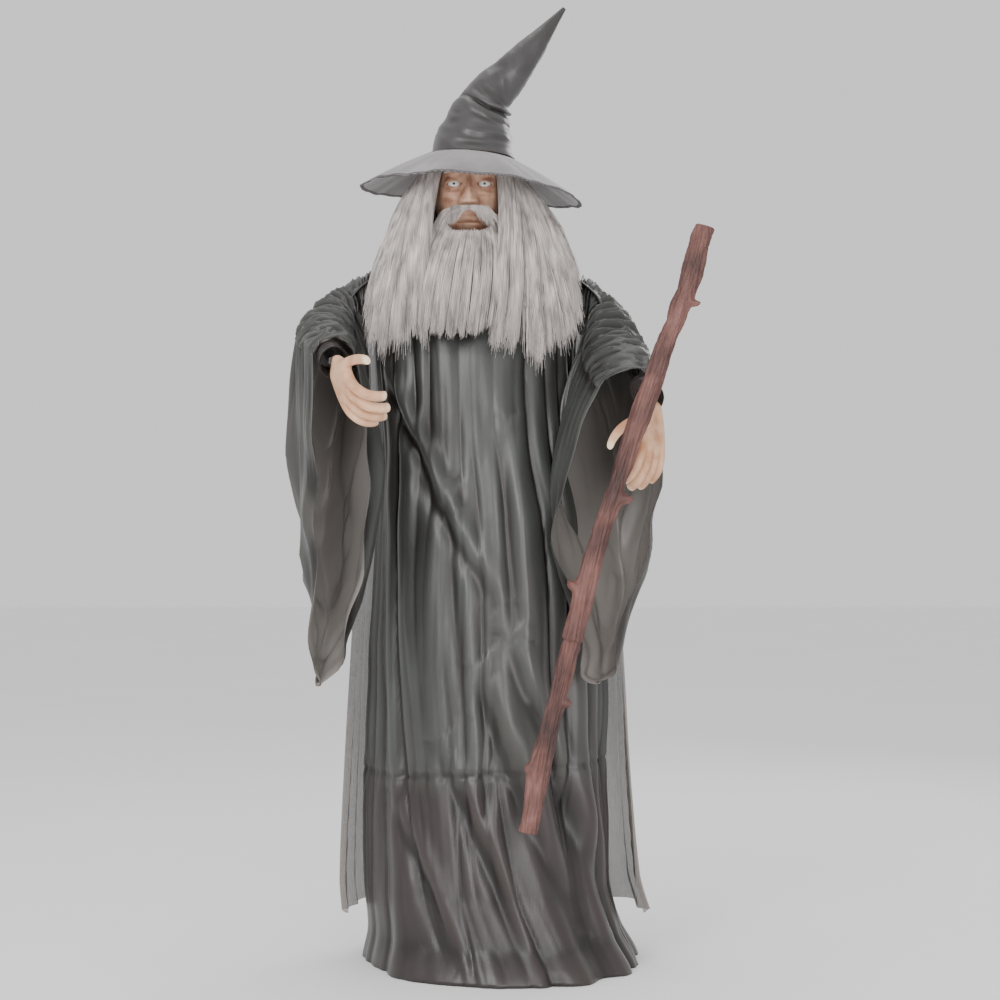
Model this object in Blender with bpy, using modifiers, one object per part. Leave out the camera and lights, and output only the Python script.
"""A life-size animated wizard prop: a steel stand, a plastic torso with a driven neck, a head with a driven jaw,
arms on friction shoulders, and the clothes over them. Metres, +Z up. The figure faces -Y and stands on z = 0, with
the origin at the middle of the base plate's underside."""

from math import atan2, cos, pi, radians, sin, sqrt

import bmesh
import bpy
from mathutils import Matrix, Vector

# Driving dimensions.
HEIGHT = 1.83
GAP = 0.0003
HEAD_X = -0.010
NECK = Vector((HEAD_X, 0.0, 1.3225))
HEAD = Vector((HEAD_X, -0.005, 1.477))
HEAD_RADII = Vector((0.072, 0.092, 0.111))
JAW_AXIS = Vector((HEAD_X, 0.012, 1.432))
SHOULDER_Z = 1.285
SHOULDER_Y = 0.010
BAR_HALF = 0.178
BAR_R = 0.011
ARM_R = 0.009
RIGHT_ELBOW = Vector((-0.298, -0.080, 1.195))
RIGHT_WRIST = Vector((-0.254, -0.262, 1.132))
LEFT_ELBOW = Vector((0.285, -0.065, 1.150))
LEFT_WRIST = Vector((0.316, -0.252, 1.068))
STAFF_Y = -0.330
STAFF_R = 0.0165
POLE_R = (0.0150, 0.0125, 0.0100)
POLE_WALL = 0.0018
CASE = Vector((0.0, 0.045, 0.860))
CASE_SIZE = Vector((0.110, 0.044, 0.170))
MODULE = 0.0015
GEAR_TEETH, PINION_TEETH = 32, 16

scene = bpy.context.scene
for old in list(bpy.data.objects):
    bpy.data.objects.remove(old)
parts = bpy.data.collections.new("wizard_figure")
cutters = bpy.data.collections.new("cutters")
scene.collection.children.link(parts)
scene.collection.children.link(cutters)


def linear(channel):
    return channel / 12.92 if channel <= 0.04045 else ((channel + 0.055) / 1.055) ** 2.4


def material(name, colour, roughness, metallic=0.0):
    """A Principled material from an sRGB hex colour."""
    made = bpy.data.materials.new(name)
    made.use_nodes = True
    shader = made.node_tree.nodes["Principled BSDF"]
    rgb = [linear(int(colour[i : i + 2], 16) / 255) for i in (0, 2, 4)]
    shader.inputs["Base Color"].default_value = (*rgb, 1)
    shader.inputs["Roughness"].default_value = roughness
    shader.inputs["Metallic"].default_value = metallic
    return made


STEEL = dict(colour="8f9295", roughness=0.4, metallic=0.9)
BLACK = dict(colour="1d1d1f", roughness=0.5)
CLOTH = dict(colour="60615d", roughness=0.45)
HAIR = dict(colour="c9c4c2", roughness=0.6)
SKIN = dict(colour="c9a68c", roughness=0.55)
HAND = dict(colour="e3bd9a", roughness=0.5)
WOOD = dict(colour="6e4744", roughness=0.7)


def keep(obj, finish, home=parts):
    """Puts an object in its collection with a material of its own; a cutter gets none and is hidden."""
    for collection in list(obj.users_collection):
        collection.objects.unlink(obj)
    home.objects.link(obj)
    if home is cutters:
        obj.hide_render = True
        obj.display_type = "WIRE"
        return obj
    obj.data.materials.clear()
    obj.data.materials.append(material(obj.name, **finish))
    if obj.type == "MESH":
        obj.data.shade_smooth()
        obj.data.set_sharp_from_angle(angle=radians(35))
    return obj


def from_bmesh(name, bm, finish, home=parts, origin=(0, 0, 0)):
    """An object from a bmesh in world coordinates, with its origin moved to a chosen point."""
    origin = Vector(origin)
    bmesh.ops.translate(bm, verts=bm.verts, vec=-origin)
    mesh = bpy.data.meshes.new(name)
    bm.to_mesh(mesh)
    bm.free()
    obj = bpy.data.objects.new(name, mesh)
    scene.collection.objects.link(obj)
    obj.location = origin
    return keep(obj, finish, home)


def add(obj, kind, **settings):
    modifier = obj.modifiers.new(kind.title(), kind)
    for key, value in settings.items():
        setattr(modifier, key, value)
    return modifier


def cut(obj, *tools):
    for tool in tools:
        add(obj, "BOOLEAN", operation="DIFFERENCE", object=tool, solver="EXACT")
    return obj


def aim(axis):
    """The rotation that turns +Z to an axis."""
    return Vector((0, 0, 1)).rotation_difference(Vector(axis)).to_matrix().to_4x4()


def box(name, centre, size, finish, home=parts, bevel=0.0, origin=None):
    bm = bmesh.new()
    bmesh.ops.create_cube(bm, size=1)
    bmesh.ops.scale(bm, verts=bm.verts, vec=size)
    bmesh.ops.translate(bm, verts=bm.verts, vec=centre)
    obj = from_bmesh(name, bm, finish, home, centre if origin is None else origin)
    if bevel:
        add(obj, "BEVEL", width=bevel, segments=1, limit_method="ANGLE")
    return obj


def rod(name, start, end, radius, finish, home=parts, sides=16, origin=None, end_radius=None):
    start, end = Vector(start), Vector(end)
    bm = bmesh.new()
    bmesh.ops.create_cone(
        bm,
        cap_ends=True,
        segments=sides,
        radius1=radius,
        radius2=radius if end_radius is None else end_radius,
        depth=(end - start).length,
        matrix=Matrix.Translation((start + end) / 2) @ aim(end - start),
    )
    return from_bmesh(name, bm, finish, home, start if origin is None else origin)


def turned(name, profile, finish, at=(0, 0, 0), axis=(0, 0, 1), sides=20, closed=False):
    """A profile of (radius, height) points, outer side top to bottom, turned about an axis through a point."""
    bm = bmesh.new()
    points = [bm.verts.new((r, 0, z)) for r, z in profile]
    for first, second in zip(points, points[1:] + ([points[0]] if closed else [])):
        bm.edges.new((first, second))
    obj = from_bmesh(name, bm, finish)
    obj.matrix_world = Matrix.Translation(at) @ aim(axis)
    add(
        obj,
        "SCREW",
        steps=sides,
        render_steps=sides,
        use_merge_vertices=True,
        merge_threshold=0.00001,
        use_smooth_shade=True,
    )
    return obj


def ring(name, outer, inner, low, high, finish, at=(0, 0, 0), axis=(0, 0, 1), sides=20):
    profile = [(outer, high), (outer, low), (inner, low), (inner, high)]
    return turned(name, profile, finish, at, axis, sides, closed=True)


def wire(name, points, radius, finish, sides_level=1, radii=None, origin=(0, 0, 0)):
    """A round bar along points, with filled caps."""
    data = bpy.data.curves.new(name, "CURVE")
    data.dimensions = "3D"
    data.bevel_depth = radius
    data.bevel_resolution = sides_level
    data.use_fill_caps = True
    spline = data.splines.new("POLY")
    spline.points.add(len(points) - 1)
    for index, point in enumerate(points):
        spline.points[index].co = (*(Vector(point) - Vector(origin)), 1)
        spline.points[index].radius = 1.0 if radii is None else radii[index]
    obj = bpy.data.objects.new(name, data)
    scene.collection.objects.link(obj)
    obj.location = origin
    return keep(obj, finish)


def as_mesh(obj, finish, home=parts):
    """The same object with its curve made a welded mesh, so that it can be cut or joined."""
    graph = bpy.context.evaluated_depsgraph_get()
    mesh = bpy.data.meshes.new_from_object(obj.evaluated_get(graph))
    bm = bmesh.new()
    bm.from_mesh(mesh)
    bmesh.ops.remove_doubles(bm, verts=bm.verts, dist=0.00001)
    bmesh.ops.recalc_face_normals(bm, faces=bm.faces)
    bm.to_mesh(mesh)
    bm.free()
    name, place = obj.name, obj.matrix_world.copy()
    bpy.data.objects.remove(obj)
    fresh = bpy.data.objects.new(name, mesh)
    scene.collection.objects.link(fresh)
    fresh.matrix_world = place
    return keep(fresh, finish, home)


def smooth_path(points, steps):
    """Points read from a Catmull-Rom curve through the route's own points."""
    points = [Vector(p) for p in points]
    ends = [2 * points[0] - points[1]] + points + [2 * points[-1] - points[-2]]
    out = []
    for a, b, c, d in zip(ends, ends[1:], ends[2:], ends[3:]):
        for step in range(steps):
            t = step / steps
            bent = (2 * b) + (c - a) * t + (2 * a - 5 * b + 4 * c - d) * t * t
            out.append((bent + (3 * b - a - 3 * c + d) * t**3) / 2)
    return out + [points[-1]]


def loft(bm, sections, around=True, cap_last=False):
    """Quads between sections of equal length; around closes each section on itself."""
    rows = [[bm.verts.new(p) for p in section] for section in sections]
    for low, high in zip(rows, rows[1:]):
        count = len(low)
        for i in range(count if around else count - 1):
            j = (i + 1) % count
            bm.faces.new((low[i], low[j], high[j], high[i]))
    if cap_last:
        bm.faces.new(rows[-1])
    return rows


def sheet(name, sections, thickness, finish, around=True, cap_last=False, origin=(0, 0, 0), outwards=1):
    """A lofted open surface given thickness on its inner side."""
    bm = bmesh.new()
    loft(bm, sections, around, cap_last)
    if outwards < 0:
        bmesh.ops.reverse_faces(bm, faces=bm.faces)
    obj = from_bmesh(name, bm, finish, origin=origin)
    add(obj, "SOLIDIFY", thickness=thickness, offset=-1)
    return obj


def oval(centre, half_x, front, back, count=28):
    """A level ring, counter-clockwise from +X, deeper or shallower in front (-Y) than behind."""
    ring_points = []
    for i in range(count):
        angle = 2 * pi * i / count
        depth = back if sin(angle) > 0 else front
        ring_points.append(Vector(centre) + Vector((half_x * cos(angle), depth * sin(angle), 0)))
    return ring_points


def gear_outline(teeth, phase, first=0, last=None):
    """Points of a spur gear's edge, or of a sector of it between two teeth, with easy backlash."""
    pitch_r = MODULE * teeth / 2
    root_r, tip_r = pitch_r - 1.05 * MODULE, pitch_r + 0.80 * MODULE
    step = 2 * pi / teeth
    marks = [(-0.30, root_r), (-0.20, pitch_r), (-0.11, tip_r), (0.11, tip_r), (0.20, pitch_r), (0.30, root_r)]
    points = []
    for tooth in range(first, teeth if last is None else last):
        for share, radius in marks:
            angle = phase + (tooth + share) * step
            points.append((radius * cos(angle), radius * sin(angle)))
    return points


def flat(name, outlines, thickness, finish, place):
    """A flat outline, with any holes, given thickness and placed by a matrix."""
    data = bpy.data.curves.new(name, "CURVE")
    data.dimensions = "2D"
    data.fill_mode = "BOTH"
    data.extrude = thickness / 2
    for outline in outlines:
        spline = data.splines.new("POLY")
        spline.points.add(len(outline) - 1)
        for index, (x, y) in enumerate(outline):
            spline.points[index].co = (x, y, 0, 1)
        spline.use_cyclic_u = True
    obj = bpy.data.objects.new(name, data)
    scene.collection.objects.link(obj)
    obj.matrix_world = place
    return keep(obj, finish)


def circle(radius, count=16):
    return [(radius * cos(2 * pi * i / count), radius * sin(2 * pi * i / count)) for i in range(count)]


# Stand: a steel disc, a socket and three poles that plug together.
def build_stand():
    plate = [(0.0, 0.004), (0.166, 0.004), (0.170, 0.002), (0.170, 0.0), (0.0, 0.0)]
    turned("base_plate", plate, STEEL, sides=40)
    socket_top = 0.060
    socket = [
        (0.0210, socket_top),
        (0.0210, 0.012),
        (0.0400, 0.008),
        (0.0400, 0.004 + GAP),
        (0.0, 0.004 + GAP),
        (0.0, 0.008),
        (POLE_R[0] + GAP, 0.008),
        (POLE_R[0] + GAP, socket_top),
    ]
    turned("base_socket", socket + [socket[0]], BLACK)
    spans = [(0.0085, 0.500), (0.450, 0.930), (0.880, 1.2660)]
    for name, radius, (low, high) in zip(("lower_pole", "middle_pole", "upper_pole"), POLE_R, spans):
        ring(name, radius, radius - POLE_WALL, low, high, STEEL, sides=16)
    for name, radius, z in (("snap_button_lower", POLE_R[1], 0.475), ("snap_button_upper", POLE_R[2], 0.905)):
        hole = rod(f"hole_{name}", (0, 0, z), (0, 0.03, z), 0.0040, BLACK, cutters, sides=12)
        rod(name, (0, radius + GAP, z), (0, radius + 0.0062, z), 0.0036, STEEL, sides=12)
        cut(bpy.data.objects["lower_pole" if "lower" in name else "middle_pole"], hole)
    bar = rod(
        "shoulder_bar",
        (-BAR_HALF, SHOULDER_Y, SHOULDER_Z),
        (BAR_HALF, SHOULDER_Y, SHOULDER_Z),
        BAR_R,
        STEEL,
    )
    tee = box("tee_coupler", (0, 0.003, 1.275), (0.050, 0.040, 0.052), BLACK, bevel=0.003)
    bar_hole = rod(
        "hole_bar", (-0.05, SHOULDER_Y, SHOULDER_Z), (0.05, SHOULDER_Y, SHOULDER_Z), BAR_R + GAP, BLACK, cutters
    )
    pole_hole = rod("hole_pole", (0, 0, 1.20), (0, 0, 1.2665), POLE_R[2] + GAP, BLACK, cutters)
    cut(tee, bar_hole, pole_hole)
    return bar


# Torso: two blow-moulded halves that snap together round the pole.
def build_torso():
    levels = ((1.000, 0.105, 0.075), (1.060, 0.120, 0.088), (1.150, 0.132, 0.095), (1.215, 0.130, 0.090))
    levels += ((1.245, 0.105, 0.070),)
    for name, side in (("torso_front", -1), ("torso_back", 1)):
        sections = []
        for z, half_x, depth in levels:
            row = []
            for i in range(13):
                angle = side * (radians(1.0) + (pi - radians(2.0)) * i / 12)
                row.append((half_x * cos(angle), depth * sin(angle), z))
            sections.append(row)
        sheet(name, sections, 0.0025, BLACK, around=False, outwards=side)
    lens_at = (0.035, -0.088, 1.15)
    turned(
        "sensor_lens",
        [(0.0, 0.007), (0.006, 0.005), (0.009, 0.0), (0.0, 0.0)],
        dict(colour="3a1416", roughness=0.2),
        (lens_at[0], lens_at[1] - 0.0065, lens_at[2]),
        (0.10, -1, 0),
        sides=12,
    )


# Neck drive: a plate on the shoulder bar, a bearing, a gear motor and one pair of spur gears.
def build_neck():
    plate_low, plate_high = 1.3015, 1.3065
    centre_y = 0.018
    plate = box("neck_plate", (HEAD_X, centre_y, (plate_low + plate_high) / 2), (0.060, 0.074, 0.005), STEEL)
    motor_y = NECK.y + MODULE * (GEAR_TEETH + PINION_TEETH) / 2 + 0.0002
    shaft_hole = rod("hole_shaft", (NECK.x, NECK.y, 1.29), (NECK.x, NECK.y, 1.32), 0.0084, BLACK, cutters)
    spindle_hole = rod("hole_spindle", (NECK.x, motor_y, 1.29), (NECK.x, motor_y, 1.32), 0.0060, BLACK, cutters)
    cut(plate, shaft_hole, spindle_hole)
    ring("neck_bearing", 0.0150, 0.0084, plate_high + GAP, 1.3170, BLACK, (NECK.x, NECK.y, 0))
    motor = [(0.0, 1.3255), (0.0018, 1.3255), (0.0018, 1.3010), (0.0120, 1.3010), (0.0120, 1.2560), (0.0, 1.2560)]
    turned("neck_motor", motor, BLACK, (NECK.x, motor_y, 0), sides=16)
    at_head = Matrix.Translation((NECK.x, NECK.y, 1.3225))
    at_motor = Matrix.Translation((NECK.x, motor_y, 1.3225))
    flat("neck_gear", [gear_outline(GEAR_TEETH, 0.0), circle(0.0083)], 0.007, BLACK, at_head)
    half_step = pi / PINION_TEETH
    flat("neck_pinion", [gear_outline(PINION_TEETH, half_step), circle(0.0020, 8)], 0.007, STEEL, at_motor)
    rod("neck_shaft", (NECK.x, NECK.y, 1.3070), (NECK.x, NECK.y, 1.3950), 0.0080, STEEL)


def head_patch(name, longitudes, latitudes, thickness, finish, columns, rows, shape=None, skip=None):
    """Part of the head's ellipsoid between two longitudes (0 = straight ahead) and two latitudes, in degrees."""
    bm = bmesh.new()
    grid = []
    for row in range(rows + 1):
        lat = radians(latitudes[0] + (latitudes[1] - latitudes[0]) * row / rows)
        line = []
        for column in range(columns + 1):
            lon = radians(longitudes[0] + (longitudes[1] - longitudes[0]) * column / columns)
            way = Vector((sin(lon) * cos(lat), -cos(lon) * cos(lat), sin(lat)))
            point = HEAD + Vector(a * b for a, b in zip(way, HEAD_RADII))
            if shape:
                point += shape(point)
            line.append(bm.verts.new(point))
        grid.append(line)
    for row in range(rows):
        for column in range(columns):
            if skip and skip(column, row):
                continue
            low, high = grid[row], grid[row + 1]
            bm.faces.new((low[column], low[column + 1], high[column + 1], high[column]))
    for vert in [v for v in bm.verts if not v.link_faces]:
        bm.verts.remove(vert)
    obj = from_bmesh(name, bm, finish)
    add(obj, "SOLIDIFY", thickness=thickness, offset=-1)
    return obj


def nose(point):
    """A plain nose: a rounded ridge that is fullest at its base."""
    across = (point.x - HEAD_X) / 0.013
    up = (point.z - 1.442) / (0.030 if point.z > 1.442 else 0.010)
    return Vector((0, -0.021 * 2.718 ** (-(across**2) - up**2), 0))


def build_head():
    frame_z = 1.4000
    frame = box("head_frame", (HEAD_X, 0.008, frame_z), (0.062, 0.080, 0.006), BLACK, bevel=0.001)
    shaft_hole = rod("hole_frame", (NECK.x, NECK.y, 1.38), (NECK.x, NECK.y, 1.3955), 0.0083, BLACK, cutters)
    cut(frame, shaft_hole)
    eye_cells = {(4, 3), (9, 3)}
    head_patch(
        "face_mask", (-84, 84), (-26, 40), 0.0025, SKIN, 14, 9, nose, lambda column, row: (column, row) in eye_cells
    )
    head_patch("skull_back", (96, 264), (-42, 40), 0.0025, BLACK, 14, 8)
    head_patch("chin_shell", (-62, 62), (-66, -32), 0.0025, SKIN, 10, 4)
    for name, lon in (("right_eye", -30), ("left_eye", 30)):
        lat = radians(-26 + 66 * 3.5 / 9)
        way = Vector((sin(radians(lon)) * cos(lat), -cos(radians(lon)) * cos(lat), sin(lat)))
        point = HEAD + Vector(a * b for a, b in zip(way, HEAD_RADII)) * 0.86
        profile = [(0.0, 0.005), (0.008, 0.003), (0.0115, -0.002), (0.0115, -0.006), (0.0, -0.006)]
        turned(name, profile, dict(colour="f2f2ee", roughness=0.2), point, (0.10 * sin(radians(lon)), -1, 0.05), 14)


# Jaw drive: a lever with a toothed sector on the jaw pivot, and a small motor with a pinion.
def build_jaw():
    x = HEAD_X + 0.030
    side = Matrix.Rotation(pi / 2, 4, "Y")
    sector_teeth, pinion_teeth = 40, 10
    sector = gear_outline(sector_teeth, pi, -3, 3)
    hub = [(0.006 * cos(a), 0.006 * sin(a)) for a in [radians(270 + 18 * i) for i in range(11)]]
    at_jaw = Matrix.Translation((x, JAW_AXIS.y, JAW_AXIS.z))
    flat("jaw_lever", [sector + hub, circle(0.0020, 8)], 0.004, STEEL, at_jaw @ side)
    reach = MODULE * (sector_teeth + pinion_teeth) / 2 + 0.0002
    pinion_at = Vector((x, JAW_AXIS.y, JAW_AXIS.z + reach))
    step = 2 * pi / pinion_teeth
    flat(
        "jaw_pinion",
        [gear_outline(pinion_teeth, step / 2), circle(0.0018, 8)],
        0.004,
        BLACK,
        Matrix.Translation(pinion_at) @ side,
    )
    motor = [(0.0, 0.030), (0.0100, 0.030), (0.0100, 0.0), (0.0, 0.0)]
    turned("jaw_motor", motor, BLACK, (x - 0.0345, pinion_at.y, pinion_at.z), (1, 0, 0), sides=14)


# Hair: a wig open at the face, a moustache, and a beard that rides on the jaw.
def build_hair():
    across = 16
    # How far along the wig from the nape, then the foot of the hair there: half width, y and z.
    feet = ((0.0, 0.000, 0.120, 1.378), (0.25, 0.085, 0.100, 1.378), (0.5, 0.148, 0.010, 1.368))
    feet += ((0.625, 0.176, -0.098, 1.305), (0.75, 0.182, -0.135, 1.210), (1.0, 0.120, -0.172, 1.165))
    sections = []
    for row in range(9):
        v = row / 8
        line = []
        for column in range(across + 1):
            u = 2 * column / across - 1
            low, high = next(pair for pair in zip(feet, feet[1:]) if abs(u) <= pair[1][0])
            share = (abs(u) - low[0]) / (high[0] - low[0])
            half, y, z = [a + (b - a) * share for a, b in zip(low[1:], high[1:])]
            if u > 0.7:
                half *= 1 - 0.45 * (u - 0.7) / 0.3
            angle = radians(126) * u
            top = Vector((HEAD_X + 0.088 * sin(angle), 0.094 * cos(angle), 1.512))
            foot = Vector((HEAD_X + (half if u > 0 else -half), y, z))
            bulge = (top + foot) / 2 + Vector((0.022 * sin(angle), 0.022 * cos(angle) - 0.016, 0.02))
            line.append(top * (1 - v) ** 2 + bulge * 2 * v * (1 - v) + foot * v * v)
        sections.append(line)
    sheet("wig", sections, 0.012, HAIR, around=False, outwards=-1)

    beard = ((1.384, 0.030, -0.116, 0.008), (1.345, 0.046, -0.135, 0.013), (1.265, 0.064, -0.163, 0.015))
    beard += ((1.205, 0.072, -0.176, 0.012), (1.178, 0.062, -0.178, 0.006))
    bm = bmesh.new()
    rows = loft(bm, [oval((-0.016 - 0.11 * (1.384 - z), y, z), w, t, t, 14) for z, w, y, t in beard], cap_last=True)
    bm.faces.new(list(reversed(rows[0])))
    bmesh.ops.recalc_face_normals(bm, faces=bm.faces)
    from_bmesh("beard", bm, HAIR)
    points = [(HEAD_X + s * 0.052, -0.096 - 0.022 * (1 - s * s), 1.424 - 0.010 * s * s) for s in
              [i / 4 - 1 for i in range(9)]]
    wire("moustache", points, 0.0075, HAIR, 1, [0.35 + 0.65 * (1 - abs(i / 4 - 1)) for i in range(9)])


# Hat: a bent cone of stiffened satin sewn to a drooping brim.
def build_hat():
    path = ((-0.003, 1.5420), (0.002, 1.589), (0.0135, 1.627), (0.030, 1.662), (0.074, 1.708))
    path += ((0.1135, 1.754), (0.142, 1.790), (0.172, HEIGHT - 0.0026))
    radii = (0.080, 0.069, 0.054, 0.041, 0.034, 0.025, 0.014, 0.004)
    sections = []
    for i, ((x, z), radius) in enumerate(zip(path, radii)):
        before, after = path[max(i - 1, 0)], path[min(i + 1, len(path) - 1)]
        lean = 0.10 if i == 0 else atan2(after[0] - before[0], after[1] - before[1])
        turn = Matrix.Rotation(lean, 4, "Y")
        section = []
        for j in range(20):
            angle = 2 * pi * j / 20
            section.append(Vector((x, 0.0, z)) + turn @ Vector((radius * cos(angle), radius * 1.1 * sin(angle), 0)))
        sections.append(section)
    sheet("hat_crown", sections, 0.0015, CLOTH, cap_last=True)

    brim = []
    for t in (0.0, 0.35, 0.7, 1.0):
        row = []
        for j in range(32):
            angle = 2 * pi * j / 32
            c, s = cos(angle), sin(angle)
            inner = Vector((-0.003 + 0.0825 * c, 0.0900 * s, 1.5385 - 0.008 * c))
            droop = 0.052 + 0.006 * s * s + 0.014 * c * c + 0.020 * max(c, 0.0) ** 3
            outer = Vector((-0.008 + 0.214 * c, 0.200 * s, inner.z - droop))
            row.append(inner.lerp(outer, t) + Vector((0, 0, 0.014 * t * (1 - t))))
        brim.append(row)
    sheet("hat_brim", brim, 0.002, dict(colour="9a9494", roughness=0.7), outwards=-1)


# Clothes: a gown to the floor, a hood lying on its shoulders, and a bell sleeve for each arm.
GOWN = (
    (0.001, 0.055, 0.262, 0.290, 0.215),
    (0.060, 0.045, 0.240, 0.262, 0.205),
    (0.150, 0.028, 0.230, 0.240, 0.200),
    (0.350, 0.024, 0.222, 0.215, 0.190),
    (0.600, 0.026, 0.215, 0.195, 0.180),
    (0.850, 0.024, 0.205, 0.175, 0.170),
    (1.000, 0.010, 0.190, 0.160, 0.150),
    (1.150, 0.000, 0.188, 0.142, 0.130),
    (1.230, 0.000, 0.192, 0.125, 0.115),
    (1.285, 0.000, 0.190, 0.105, 0.098),
    (1.318, 0.000, 0.165, 0.080, 0.082),
    (1.336, -0.002, 0.115, 0.068, 0.074),
    (1.350, -0.006, 0.060, 0.054, 0.062),
)


def build_gown():
    sections = [oval((x, 0.0, z), half, front, back) for z, x, half, front, back in GOWN]
    gown = sheet("gown", sections, 0.002, CLOTH)
    for side in (-1, 1):
        start, end = side * 0.150, side * 0.240
        centre_z = SHOULDER_Z - 0.006
        name = "right" if side < 0 else "left"
        tool = rod(
            f"armhole_{name}", (start, SHOULDER_Y, centre_z), (end, SHOULDER_Y, centre_z), 0.052, CLOTH, cutters, 18
        )
        cut(gown, tool)
    hood = []
    for row in range(7):
        v = row / 6
        line = []
        for column in range(13):
            u = 2 * column / 12 - 1
            angle = u * radians(78)
            reach = 0.098 + 0.062 * sin(pi * v * 0.5)
            x = reach * sin(angle) * (1.0 + 0.10 * v)
            line.append((x, reach * 0.78 * cos(angle) + 0.052, 1.352 - 0.020 * u * u * v - 0.145 * v**1.5 * cos(angle)))
        hood.append(line)
    sheet("hood", hood, 0.004, CLOTH, around=False, outwards=-1)


def sleeve_section(side, top, foot, outer, inner, turn, up, bulge, count=24):
    """An upright leaf-shaped ring: round above, drawn down to a point below. turn is 0 with its outer half behind."""
    top, foot = Vector(top), Vector(foot)
    outwards = Vector((side * sin(radians(turn)), cos(radians(turn)), 0))
    section = []
    for i in range(count):
        c, s = cos(2 * pi * i / count), sin(2 * pi * i / count)
        drop = max(-s, 0.0)
        leaf = 1.0 if turn == 0 else 0.62 + 1.6 * drop * (1 - drop)
        across = (outer if c > 0 else inner) * c * leaf - 4 * bulge * drop * (1 - drop)
        section.append(top.lerp(foot, drop) + outwards * across + Vector((0, 0, up * max(s, 0.0))))
    return section


def build_sleeve(name, side, stations):
    """A sleeve from the armhole to the wrist: top, foot, half widths, turn, rise above the top and bulge inwards."""
    return sheet(name, [sleeve_section(side, *station) for station in stations], 0.0015, CLOTH, outwards=side)


# Arms: a friction knuckle on each end of the shoulder bar and a bent tube to the hand.
def build_arm(name, side, elbow, wrist):
    centre = Vector((0, SHOULDER_Y, SHOULDER_Z))
    inner, outer = side * (BAR_HALF + GAP), side * (BAR_HALF + 0.014)
    knuckle = ring(
        f"{name}_shoulder_knuckle",
        0.0200,
        0.0043,
        0.0,
        abs(outer - inner),
        BLACK,
        centre + Vector((inner, 0, 0)),
        (side, 0, 0),
    )
    head = side * (BAR_HALF + 0.0145)
    bolt = [
        (0.0, 0.0050),
        (0.0070, 0.0050),
        (0.0085, 0.0035),
        (0.0085, 0.0),
        (0.0040, 0.0),
        (0.0040, -0.0138),
        (0.0, -0.0138),
    ]
    turned(f"{name}_shoulder_bolt", bolt, STEEL, centre + Vector((head, 0, 0)), (side, 0, 0), 14)
    towards = Vector((0, elbow.y - SHOULDER_Y, elbow.z - SHOULDER_Z)).normalized()
    root = centre + Vector((side * (BAR_HALF + 0.009), 0, 0)) + towards * (0.0204 + ARM_R)
    route = smooth_path([root, root.lerp(elbow, 0.5), elbow, elbow.lerp(wrist, 0.5), wrist], 4)
    wire(f"{name}_arm_tube", route, ARM_R, STEEL, 1, origin=centre)
    return knuckle


def extrude_digit(bm, face, lengths, way, bend_axis, bends, taper):
    """Pushes one face out joint by joint, turning each joint about an axis."""
    direction = Vector(way).normalized()
    for length, bend in zip(lengths, bends):
        grown = bmesh.ops.extrude_discrete_faces(bm, faces=[face])["faces"][0]
        turn = Matrix.Rotation(radians(bend), 3, bend_axis)
        direction = turn @ direction
        centre = grown.calc_center_median()
        bmesh.ops.rotate(bm, verts=grown.verts, cent=centre, matrix=turn)
        bmesh.ops.translate(bm, verts=grown.verts, vec=direction * length)
        middle = grown.calc_center_median()
        bmesh.ops.scale(bm, verts=grown.verts, vec=(taper,) * 3, space=Matrix.Translation(-middle))
        face = grown


def build_hand(name, place, curls, thumb, mirror=1):
    """A hand as a cage: fingers along +X, thumb towards +Y, palm facing -Z, the wrist at the origin."""
    bm = bmesh.new()
    bmesh.ops.create_grid(bm, x_segments=3, y_segments=4, size=0.5)
    bmesh.ops.scale(bm, verts=bm.verts, vec=(0.088, 0.078, 1))
    bmesh.ops.translate(bm, verts=bm.verts, vec=(0.044, 0, 0))
    grown = bmesh.ops.extrude_face_region(bm, geom=bm.faces[:], use_keep_orig=True)["geom"]
    lifted = [item for item in grown if isinstance(item, bmesh.types.BMVert)]
    bmesh.ops.translate(bm, verts=lifted, vec=(0, 0, 0.022))
    bmesh.ops.translate(bm, verts=bm.verts, vec=(0, 0, -0.011))
    bmesh.ops.recalc_face_normals(bm, faces=bm.faces)
    for vert in bm.verts:
        vert.co.y *= 0.62 + 0.38 * min(vert.co.x / 0.05, 1)
    fronts = [f for f in bm.faces if f.normal.x > 0.9]
    fronts.sort(key=lambda f: -f.calc_center_median().y)
    sides = [f for f in bm.faces if f.normal.y > 0.7]
    side = min(sides, key=lambda f: abs(f.calc_center_median().x - 0.044))
    lengths = ((0.036, 0.026, 0.020), (0.040, 0.029, 0.021), (0.037, 0.027, 0.020), (0.030, 0.021, 0.017))
    for index, (face, curl) in enumerate(zip(fronts, curls)):
        extrude_digit(bm, face, lengths[index], (1, 0.14 * (1.5 - index), 0), "Y", curl, 0.90)
    extrude_digit(bm, side, (0.030, 0.028, 0.022), *thumb, 0.82)
    bmesh.ops.scale(bm, verts=bm.verts, vec=(1, mirror, 1))
    if mirror < 0:
        bmesh.ops.reverse_faces(bm, faces=bm.faces)
    bmesh.ops.transform(bm, verts=bm.verts, matrix=place)
    obj = from_bmesh(name, bm, HAND, origin=place.translation)
    add(obj, "SUBSURF", levels=1, render_levels=1)
    return obj


def frame_at(origin, fingers, back):
    """A matrix with +X along the fingers and +Z out of the back of the hand."""
    x = Vector(fingers).normalized()
    z = (Vector(back) - Vector(back).dot(x) * x).normalized()
    y = z.cross(x)
    return Matrix.Translation(origin) @ Matrix((x, y, z)).transposed().to_4x4()


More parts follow.
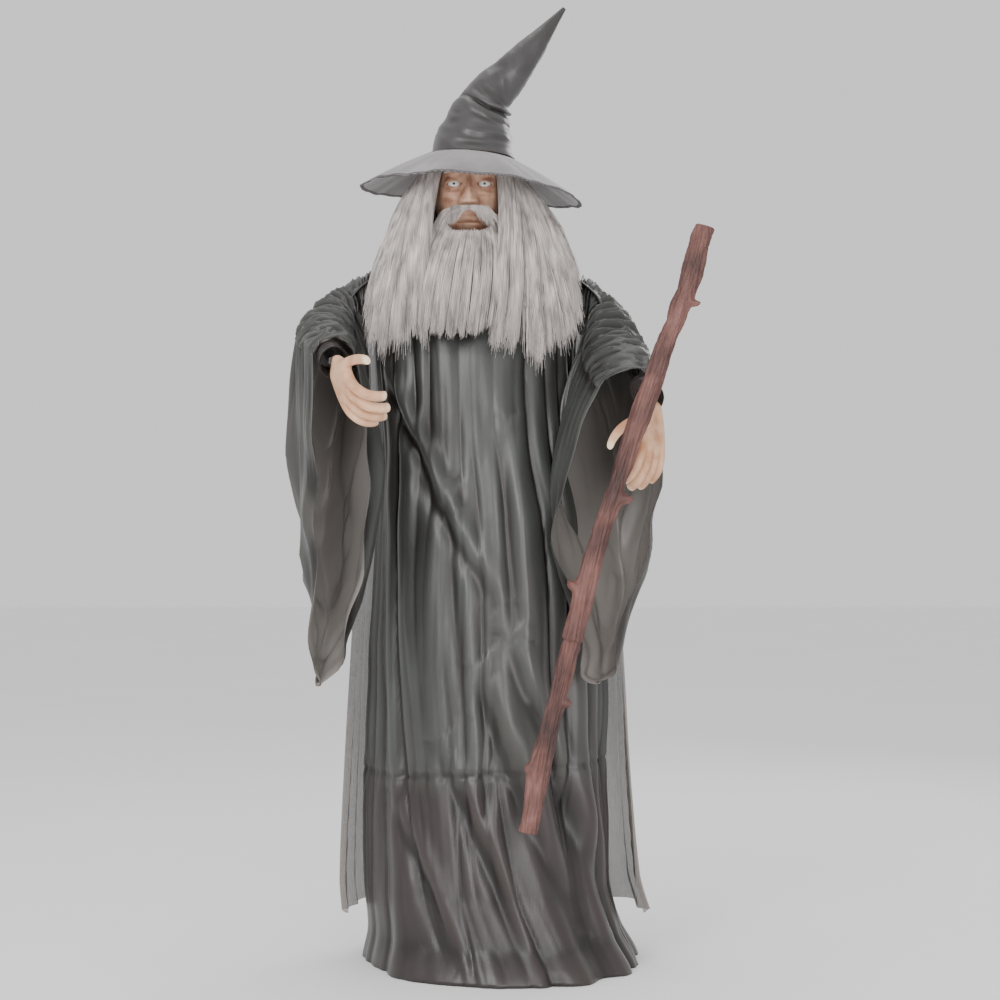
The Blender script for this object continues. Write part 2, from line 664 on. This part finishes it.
# Staff: a crooked branch in two sections, held in the left hand.
STAFF = ((0.413, 1.367), (0.378, 1.250), (0.333, 1.129), (0.272, 0.955), (0.217, 0.786), (0.173, 0.615))
STAFF += ((0.131, 0.453), (0.098, 0.288))


def staff_points():
    return smooth_path([(x, STAFF_Y, z) for x, z in STAFF], 3)


def build_staff():
    points = staff_points()
    joint = 15
    offset = (points[joint + 1] - points[joint]).normalized() * 0.0005
    stubs = ((1, 1.0, 0.016), (7, -0.9, 0.014), (11, 1.0, 0.013), (15, -1.0, 0.0), (18, -1.0, 0.014), (20, 0.9, 0.012))
    for name, first, last in (("staff_upper", 0, joint), ("staff_lower", joint, len(points) - 1)):
        run = [Vector(p) for p in points[first : last + 1]]
        if first:
            run[0] += offset
        else:
            run[-1] -= offset
        radii = [1.0 + 0.09 * sin(2.1 * (first + i)) for i in range(len(run))]
        stick = as_mesh(wire(name, run, STAFF_R, WOOD, 1, radii), WOOD)
        for index, way, length in stubs:
            if length and first < index < last:
                base = Vector(points[index])
                tip = base + Vector((way, -0.35, 0.55)).normalized() * (STAFF_R + length)
                stub = rod(f"stub_{index}", base, tip, 0.0100, WOOD, cutters, 8, end_radius=0.0065)
                add(stick, "BOOLEAN", operation="UNION", object=stub, solver="EXACT")


# Control case on the middle pole, with the battery door, switch and button that a person reaches from behind.
def build_case():
    half = CASE_SIZE / 2
    back = CASE.y + half.y
    case = box("control_case", CASE, CASE_SIZE, BLACK)
    cells = box("space_cells", (0, back - 0.015, 0.822), (0.096, 0.034, 0.066), BLACK, cutters)
    works = box("space_works", (0, back - 0.015, 0.902), (0.096, 0.034, 0.066), BLACK, cutters)
    slot = box("slot_switch", (half.x, CASE.y, 0.916), (0.020, 0.005, 0.016), BLACK, cutters)
    bore = rod("bore_button", (half.x - 0.01, CASE.y, 0.885), (half.x + 0.01, CASE.y, 0.885), 0.0065, BLACK, cutters)
    cut(case, cells, works, slot, bore)
    for i in range(3):
        z = 0.804 + 0.0180 * i
        rod(f"battery_{i + 1}", (-0.025, back - 0.012, z), (0.025, back - 0.012, z), 0.0072,
            dict(colour="3c5a34", roughness=0.35), sides=14)
    door_y = back + 0.0008
    box("battery_door", (0, door_y + 0.0015, 0.8220), (0.104, 0.003, 0.078), BLACK, origin=(0, door_y + 0.0015, 0.7845))
    grille = box("speaker_grille", (0, back + 0.0018, 0.9035), (0.104, 0.003, 0.078), BLACK)
    for i in range(5):
        z = 0.8875 + 0.008 * i
        cut(grille, box(f"slot_{i}", (0, back + 0.002, z), (0.036, 0.010, 0.0035), BLACK, cutters))
    profile = [
        (0.0190, 0.0100),
        (0.0190, 0.0080),
        (0.0090, 0.0020),
        (0.0090, -0.0040),
        (0.0, -0.0040),
        (0.0, 0.0040),
        (0.0060, 0.0050),
        (0.0165, 0.0100),
    ]
    turned("speaker", profile + [profile[0]], BLACK, (-0.022, back - 0.0115, 0.9035), (0, 1, 0), 18)
    box("control_board", (0.022, back - 0.022, 0.902), (0.036, 0.0016, 0.056), dict(colour="1f5a34", roughness=0.4))
    box("power_switch", (half.x + 0.002, CASE.y, 0.9125), (0.011, 0.0042, 0.0050), dict(colour="b03028", roughness=0.4))
    rod("try_me_button", (half.x - 0.004, CASE.y, 0.885), (half.x + 0.0045, CASE.y, 0.885), 0.0060,
        dict(colour="b8b8b4", roughness=0.4), sides=14)


build_stand()
build_torso()
build_neck()
build_head()
build_jaw()
build_hair()
build_hat()
build_gown()
build_arm("right", -1, RIGHT_ELBOW, RIGHT_WRIST)
build_arm("left", 1, LEFT_ELBOW, LEFT_WRIST)
RIGHT_SLEEVE = (
    ((-0.205, 0.000, 1.264), (-0.205, 0.000, 1.209), 0.052, 0.052, 0, 0.050, 0.0),
    ((-0.238, -0.004, 1.246), (-0.240, -0.006, 1.130), 0.060, 0.068, 25, 0.052, 0.0),
    ((-0.272, -0.030, 1.222), (-0.266, -0.030, 0.960), 0.070, 0.074, 50, 0.052, 0.0),
    ((-0.290, -0.085, 1.190), (-0.276, -0.080, 0.760), 0.070, 0.070, 72, 0.048, 0.0),
    ((-0.280, -0.150, 1.165), (-0.282, -0.145, 0.610), 0.066, 0.072, 88, 0.044, 0.020),
    ((-0.256, -0.215, 1.147), (-0.287, -0.205, 0.530), 0.056, 0.060, 100, 0.038, 0.035),
)
LEFT_SLEEVE = (
    ((0.205, 0.000, 1.262), (0.205, 0.000, 1.207), 0.052, 0.052, 0, 0.050, 0.0),
    ((0.235, -0.004, 1.238), (0.238, -0.004, 1.120), 0.060, 0.056, 25, 0.052, 0.0),
    ((0.264, -0.028, 1.200), (0.264, -0.025, 0.950), 0.068, 0.064, 50, 0.052, 0.0),
    ((0.284, -0.072, 1.155), (0.275, -0.070, 0.760), 0.066, 0.076, 72, 0.048, 0.0),
    ((0.292, -0.140, 1.120), (0.256, -0.140, 0.610), 0.058, 0.084, 88, 0.044, 0.0),
    ((0.298, -0.205, 1.092), (0.232, -0.200, 0.535), 0.050, 0.090, 100, 0.038, 0.0),
)
build_sleeve("right_sleeve", -1, RIGHT_SLEEVE)
build_sleeve("left_sleeve", 1, LEFT_SLEEVE)
right_place = frame_at(RIGHT_WRIST + Vector((0.003, -0.0115, -0.004)), (0.35, -0.60, -0.70), (-0.90, -0.35, -0.15))
right_curls = ((20, 34, 26), (24, 38, 30), (30, 42, 32), (36, 44, 34))
build_hand("right_hand", right_place, right_curls, ((0.5, 1.0, -0.3), "Z", (-10, -12, -10)))
left_place = frame_at(LEFT_WRIST + Vector((0.004, -0.0115, -0.005)), (0.0, -0.18, -0.98), (0.80, -0.60, 0.0))
left_curls = ((12, 24, 22), (14, 24, 22), (16, 26, 22), (18, 26, 22))
build_hand("left_hand", left_place, left_curls, ((0.4, 0.35, -1.0), "Y", (0, -35, -25)), -1)
grip = as_mesh(wire("grip", staff_points(), STAFF_R * 1.13, WOOD, 1), WOOD, cutters)
cut(bpy.data.objects["left_hand"], grip)
build_staff()
build_case()
